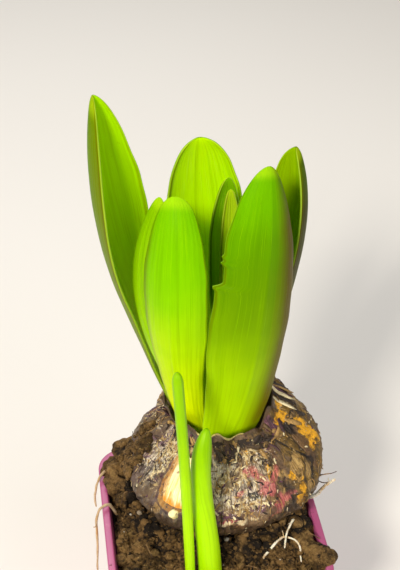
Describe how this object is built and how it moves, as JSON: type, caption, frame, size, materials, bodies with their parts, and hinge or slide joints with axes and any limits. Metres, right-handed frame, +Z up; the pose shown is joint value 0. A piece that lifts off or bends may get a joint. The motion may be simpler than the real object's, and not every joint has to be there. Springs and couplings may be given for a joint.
{
  "type": "potted hyacinth plant",
  "caption": "Hyacinth bulb coming into leaf, sitting proud of the crumbly soil in a small square tapered nursery pot, with bare shoots in front of the bulb.",
  "frame": {"origin": "centre of the pot's underside, on the surface it stands on", "axes": "+Z up, X and Y along the pot's sides; the two bare shoots stand at the front, towards -Y"},
  "size_m": [0.0818, 0.0784, 0.2053],
  "materials": {
    "leaf_front": "satin",
    "leaf_tall": "satin",
    "leaf_behind": "satin",
    "leaf_heart": "satin",
    "shoot": "satin",
    "root": "matte",
    "bulb_skin": "matte",
    "bulb_flesh": "satin",
    "pot_plastic": "satin",
    "soil": "matte"
  },
  "bodies": {
    "root": {"leaf_front_right": "leaf_front", "leaf_front_left": "leaf_front", "leaf_left_inner": "leaf_front", "leaf_left_tall": "leaf_tall", "leaf_back": "leaf_behind", "leaf_right_back": "leaf_tall", "leaf_heart_outer": "leaf_heart", "leaf_heart_inner": "leaf_heart", "shoot_thin": "shoot", "shoot_thick": "shoot", "root_right": "root", "root_front": "root", "root_loop": "root", "root_left_hook": "root", "root_left_hanging": "root", "root_small": "root", "bulb": "bulb_skin", "bulb_scale": "bulb_flesh", "pot": "pot_plastic", "soil": "soil"}
  },
  "joints": []
}
